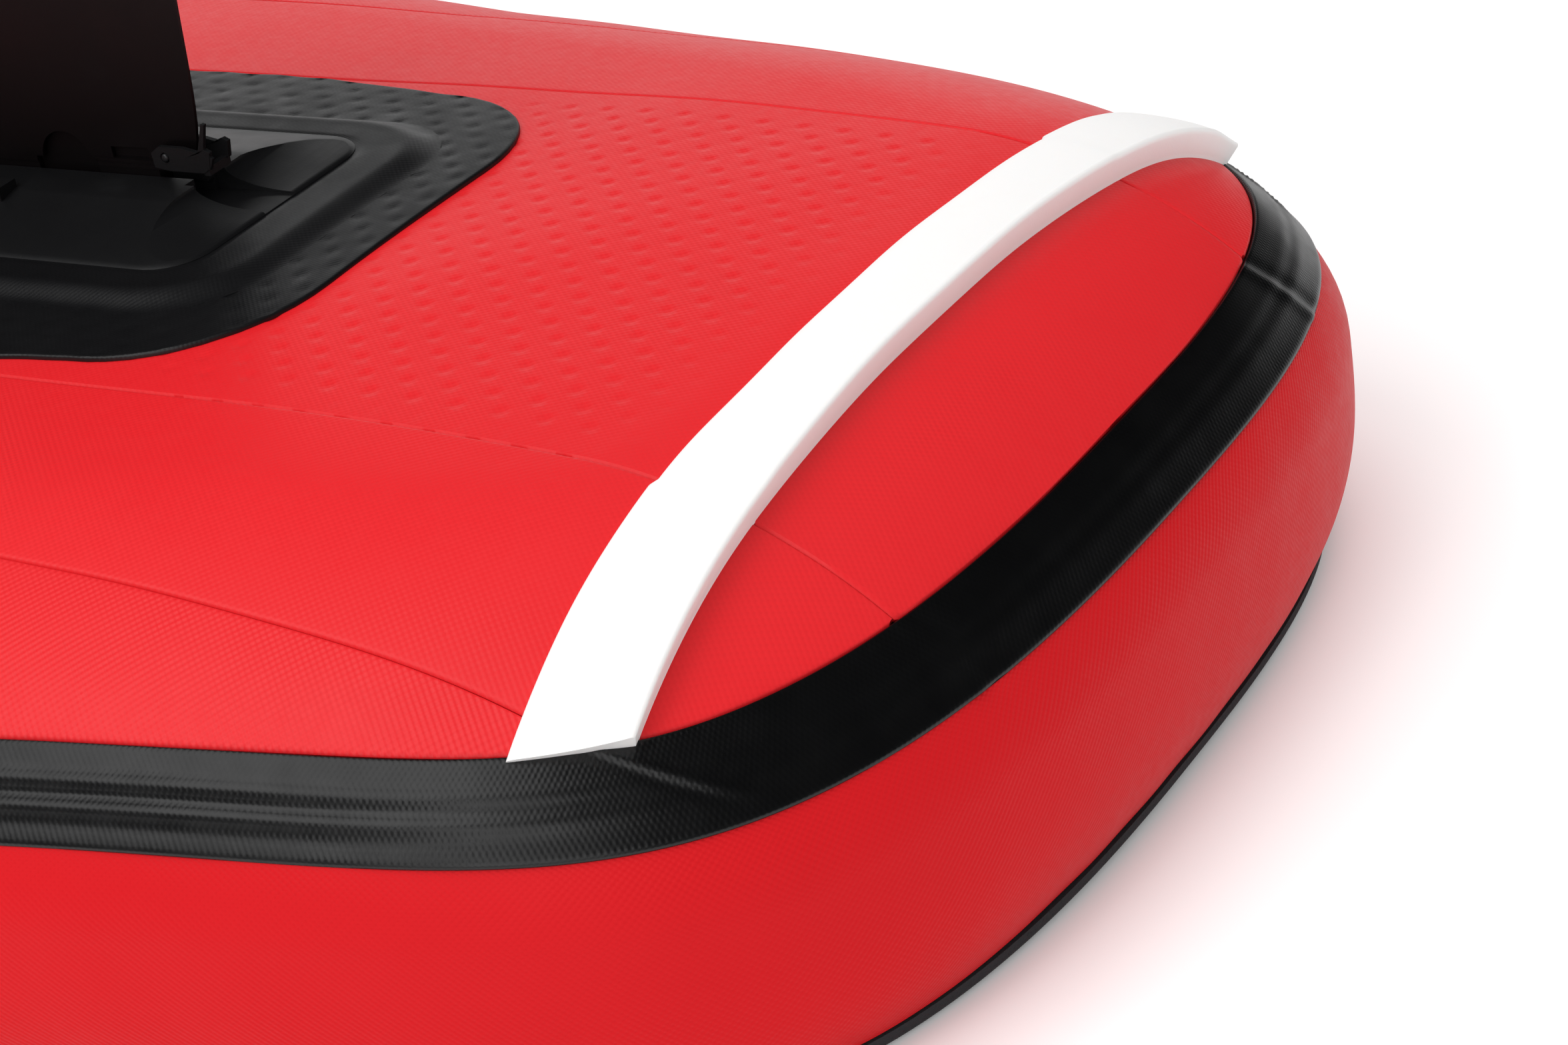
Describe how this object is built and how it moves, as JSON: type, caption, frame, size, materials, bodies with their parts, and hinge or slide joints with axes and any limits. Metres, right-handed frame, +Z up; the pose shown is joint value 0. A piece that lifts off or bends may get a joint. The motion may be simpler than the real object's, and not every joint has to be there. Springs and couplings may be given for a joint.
{
  "type": "inflatable paddle board",
  "caption": "Inflatable drop-stitch paddle board with square tail, lying bottom up, with a slide-in centre fin and a white water release edge.",
  "frame": {"origin": "centre of the bounding box at floor level, with the board lying bottom up on its nose tip and kick pad", "axes": "+X towards the tail, +Z up, +Y across the board"},
  "size_m": [3.202, 0.7994, 0.4207],
  "materials": {
    "red_pvc": "coated, satin, fine weave",
    "black_pvc": "coated, satin",
    "deck_foam": "matte grooved foam",
    "white_plastic": "satin",
    "black_plastic": "satin moulded",
    "steel": "polished stainless wire",
    "webbing": "woven",
    "rubber": "matte",
    "drop_stitch": "raw fabric"
  },
  "bodies": {
    "board": {"drop_stitch_core": "drop_stitch", "bottom_center_layer": "red_pvc", "bottom_side_layer_left": "red_pvc", "bottom_rail_layer_left": "red_pvc", "bottom_side_layer_right": "red_pvc", "bottom_rail_layer_right": "red_pvc", "bottom_seam_tape": "black_pvc", "side_wall": "red_pvc", "deck_skin": "black_pvc", "deck_pad": "deck_foam", "kick_pad": "deck_foam", "tail_release_edge": "white_plastic", "fin_patch": "black_pvc", "fin_box_flange": "black_pvc", "fin_box": "black_plastic", "valve_patch": "black_pvc", "leash_patch": "black_pvc", "cargo_rear_left_patch": "black_pvc", "cargo_rear_right_patch": "black_pvc", "cargo_front_left_patch": "black_pvc", "cargo_front_right_patch": "black_pvc", "tow_patch": "black_pvc", "tow_webbing": "webbing", "handle_patch_rear": "black_pvc", "handle_patch_front": "black_pvc", "handle_strap": "webbing", "handle_grip": "deck_foam", "valve_housing": "black_plastic", "valve_clamp_nut": "black_plastic", "valve_spring": "steel", "valve_cap_strap": "rubber", "leash_webbing": "webbing", "cargo_rear_left_webbing": "webbing", "cargo_rear_right_webbing": "webbing", "cargo_front_left_webbing": "webbing", "cargo_front_right_webbing": "webbing"},
    "fin": {"fin": "black_plastic", "fin_clip_pin": "steel"},
    "lock_clip": {"fin_lock_clip": "black_plastic"},
    "valve_stem": {"valve_stem": "black_plastic", "valve_seal": "rubber"},
    "valve_cap": {"valve_cap": "black_plastic"},
    "tow_ring": {"tow_ring": "steel"},
    "leash_ring": {"leash_ring": "steel"},
    "cargo_rear_left_ring": {"cargo_rear_left_ring": "steel"},
    "cargo_rear_right_ring": {"cargo_rear_right_ring": "steel"},
    "cargo_front_left_ring": {"cargo_front_left_ring": "steel"},
    "cargo_front_right_ring": {"cargo_front_right_ring": "steel"}
  },
  "joints": [
    {"name": "fin_slide", "type": "slide", "parent": "board", "child": "fin", "axis": [0.9993, 0, -0.0377], "range_m": [0, 0.24]},
    {"name": "lock_clip_hinge", "type": "hinge", "parent": "fin", "child": "lock_clip", "pos_m": [1.22813, 0, 0.20341], "axis": [0, -1, 0], "range_deg": [0, 38]},
    {"name": "valve_plunge", "type": "slide", "parent": "board", "child": "valve_stem", "axis": [0, 0, 1], "range_m": [0, 0.006], "stiffness_N_per_m": 300, "springref_m": -0.004, "deforming": ["valve_spring"]},
    {"name": "valve_cap_hinge", "type": "hinge", "parent": "board", "child": "valve_cap", "pos_m": [-0.93396, 0, 0.07311], "axis": [0, 1, 0], "range_deg": [0, 110]},
    {"name": "leash_ring_hinge", "type": "hinge", "parent": "board", "child": "leash_ring", "pos_m": [1.26992, 0, 0.02762], "axis": [0, 1, 0], "range_deg": [-80, 80]},
    {"name": "cargo_rear_left_ring_hinge", "type": "hinge", "parent": "board", "child": "cargo_rear_left_ring", "pos_m": [-0.69962, -0.175, 0.07687], "axis": [0, 1, 0], "range_deg": [-80, 80]},
    {"name": "cargo_rear_right_ring_hinge", "type": "hinge", "parent": "board", "child": "cargo_rear_right_ring", "pos_m": [-0.69962, 0.175, 0.07687], "axis": [0, 1, 0], "range_deg": [-80, 80]},
    {"name": "cargo_front_left_ring_hinge", "type": "hinge", "parent": "board", "child": "cargo_front_left_ring", "pos_m": [-1.05077, -0.175, 0.05312], "axis": [0, 1, 0], "range_deg": [-80, 80]},
    {"name": "cargo_front_right_ring_hinge", "type": "hinge", "parent": "board", "child": "cargo_front_right_ring", "pos_m": [-1.05077, 0.175, 0.05312], "axis": [0, 1, 0], "range_deg": [-80, 80]},
    {"name": "tow_ring_hinge", "type": "hinge", "parent": "board", "child": "tow_ring", "pos_m": [-1.3564, 0, 0.1852], "axis": [0, 1, 0], "range_deg": [0, 165]}
  ]
}
